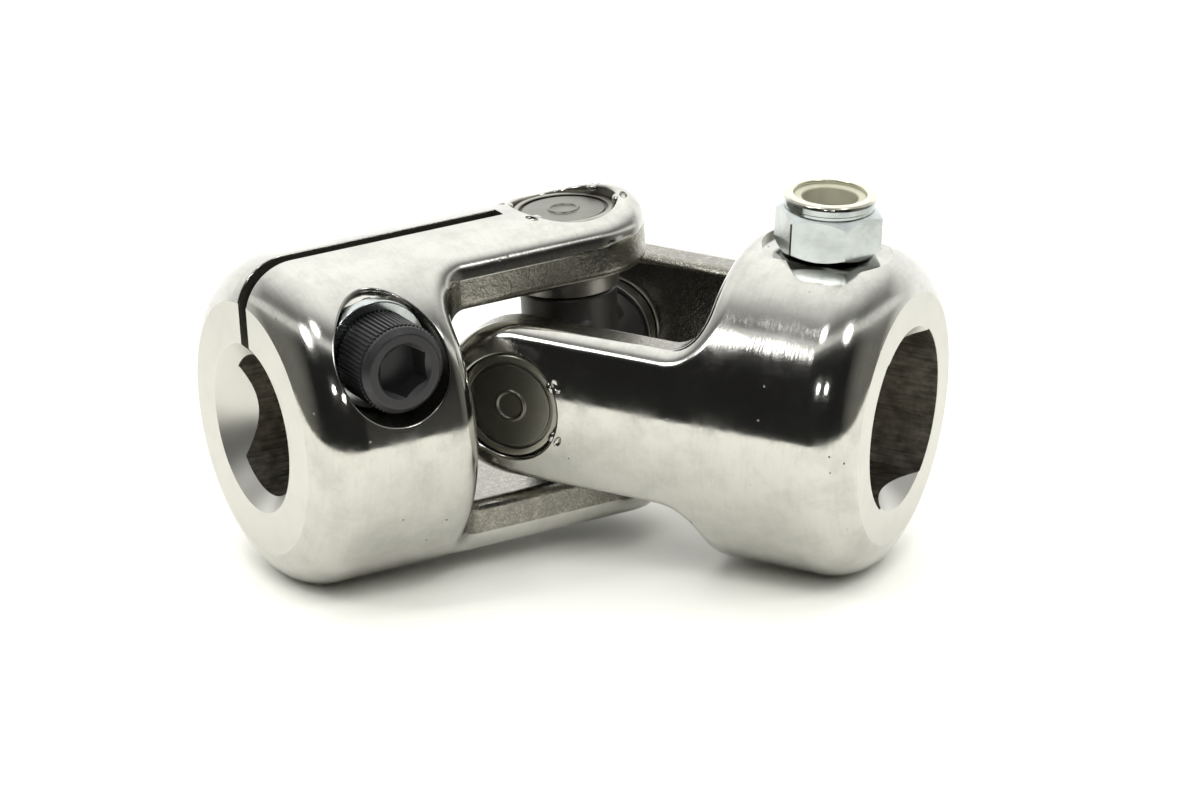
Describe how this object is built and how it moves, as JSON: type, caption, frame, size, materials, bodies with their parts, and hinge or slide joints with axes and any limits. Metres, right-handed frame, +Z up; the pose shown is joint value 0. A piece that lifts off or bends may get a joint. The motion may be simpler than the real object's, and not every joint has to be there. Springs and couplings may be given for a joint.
{
  "type": "universal joint",
  "caption": "Needle-bearing steering universal joint with double-D bores, a slit clamp yoke with a pinch screw and a yoke with a set screw and locknut, resting bent.",
  "frame": {"origin": "middle of the footprint of the bent joint as it lies on a surface, at its base", "axes": "+Z up; +X from the clamp yoke's side to the set screw yoke's side, the longest extent; the pinch screw's head and the bearing cup in front face -Y"},
  "size_m": [0.1006, 0.0642, 0.0524],
  "materials": {
    "clamp_yoke_steel": "polished stainless steel with fine turning marks",
    "set_yoke_steel": "polished stainless steel with fine turning marks",
    "cup_steel": "turned hardened steel, slightly oily",
    "needle_steel": "ground hardened steel",
    "cross_steel": "blackened forged steel",
    "seal_rubber": "black moulded rubber",
    "retainer_steel": "darkened pressed steel",
    "black_oxide": "black oxide, slightly oily",
    "zinc_plate": "bright bluish zinc plate",
    "nylon": "natural nylon"
  },
  "bodies": {
    "clamp_yoke": {"clamp_yoke": "clamp_yoke_steel", "bearing_cup_top": "cup_steel", "bearing_cup_bottom": "cup_steel"},
    "cross": {"cross": "cross_steel", "seal_top": "seal_rubber", "seal_bottom": "seal_rubber", "seal_front": "seal_rubber", "seal_back": "seal_rubber", "seal_retainer_top": "retainer_steel", "seal_retainer_bottom": "retainer_steel", "seal_retainer_front": "retainer_steel", "seal_retainer_back": "retainer_steel"},
    "set_screw_yoke": {"set_screw_yoke": "set_yoke_steel", "bearing_cup_front": "cup_steel", "bearing_cup_back": "cup_steel"},
    "needles_top": {"needle_set_top": "needle_steel"},
    "needles_bottom": {"needle_set_bottom": "needle_steel"},
    "needles_front": {"needle_set_front": "needle_steel"},
    "needles_back": {"needle_set_back": "needle_steel"},
    "lock_washer": {"lock_washer": "zinc_plate"},
    "pinch_screw": {"pinch_screw": "black_oxide"},
    "set_screw": {"set_screw": "black_oxide"},
    "locknut": {"locknut": "zinc_plate", "nylon_insert": "nylon"}
  },
  "joints": [
    {"name": "clamp_yoke_hinge", "type": "hinge", "parent": "clamp_yoke", "child": "cross", "pos_m": [-0.00017, 0.00749, 0.02444], "axis": [-0.0591, -0.0063, 0.9982], "range_deg": [-0.8, 103.2]},
    {"name": "set_screw_yoke_hinge", "type": "hinge", "parent": "cross", "child": "set_screw_yoke", "pos_m": [-0.00017, 0.00749, 0.02444], "axis": [-0.393, -0.9191, -0.0291], "range_deg": [-18.9, 31.1]},
    {"name": "needles_top_orbit", "type": "hinge", "parent": "clamp_yoke", "child": "needles_top", "pos_m": [-0.00017, 0.00749, 0.02444], "axis": [-0.0591, -0.0063, 0.9982], "range_deg": [-0.5, 44.3]},
    {"name": "needles_bottom_orbit", "type": "hinge", "parent": "clamp_yoke", "child": "needles_bottom", "pos_m": [-0.00017, 0.00749, 0.02444], "axis": [-0.0591, -0.0063, 0.9982], "range_deg": [-0.5, 44.3]},
    {"name": "needles_front_orbit", "type": "hinge", "parent": "cross", "child": "needles_front", "pos_m": [-0.00017, 0.00749, 0.02444], "axis": [-0.393, -0.9191, -0.0291], "range_deg": [-11, 17.9]},
    {"name": "needles_back_orbit", "type": "hinge", "parent": "cross", "child": "needles_back", "pos_m": [-0.00017, 0.00749, 0.02444], "axis": [-0.393, -0.9191, -0.0291], "range_deg": [-11, 17.9]},
    {"name": "lock_washer_slide", "type": "slide", "parent": "clamp_yoke", "child": "lock_washer", "axis": [0.4689, -0.883, 0.0221], "range_m": [0, 0.00319]},
    {"name": "pinch_screw_turn", "type": "hinge", "parent": "lock_washer", "child": "pinch_screw", "pos_m": [-0.03186, -0.0091, 0.03388], "axis": [0.4689, -0.883, 0.0221], "range_deg": [0, 1080]},
    {"name": "set_screw_slide", "type": "slide", "parent": "set_screw_yoke", "child": "set_screw", "axis": [0.0388, -0.0482, 0.9981], "range_m": [0, 0.00319]},
    {"name": "locknut_turn", "type": "hinge", "parent": "set_screw", "child": "locknut", "pos_m": [0.03245, -0.00639, 0.0225], "axis": [0.0388, -0.0482, 0.9981], "range_deg": [0, 1080]}
  ],
  "couplings": [
    {"joint": "needles_top_orbit", "follows": "clamp_yoke_hinge", "ratio": 0.42816},
    {"joint": "needles_bottom_orbit", "follows": "clamp_yoke_hinge", "ratio": 0.42816},
    {"joint": "needles_front_orbit", "follows": "set_screw_yoke_hinge", "ratio": 0.57184},
    {"joint": "needles_back_orbit", "follows": "set_screw_yoke_hinge", "ratio": 0.57184},
    {"joint": "lock_washer_slide", "follows": "pinch_screw_turn", "m_per_rad": 0.00016844},
    {"joint": "set_screw_slide", "follows": "locknut_turn", "m_per_rad": 0.00016844}
  ]
}
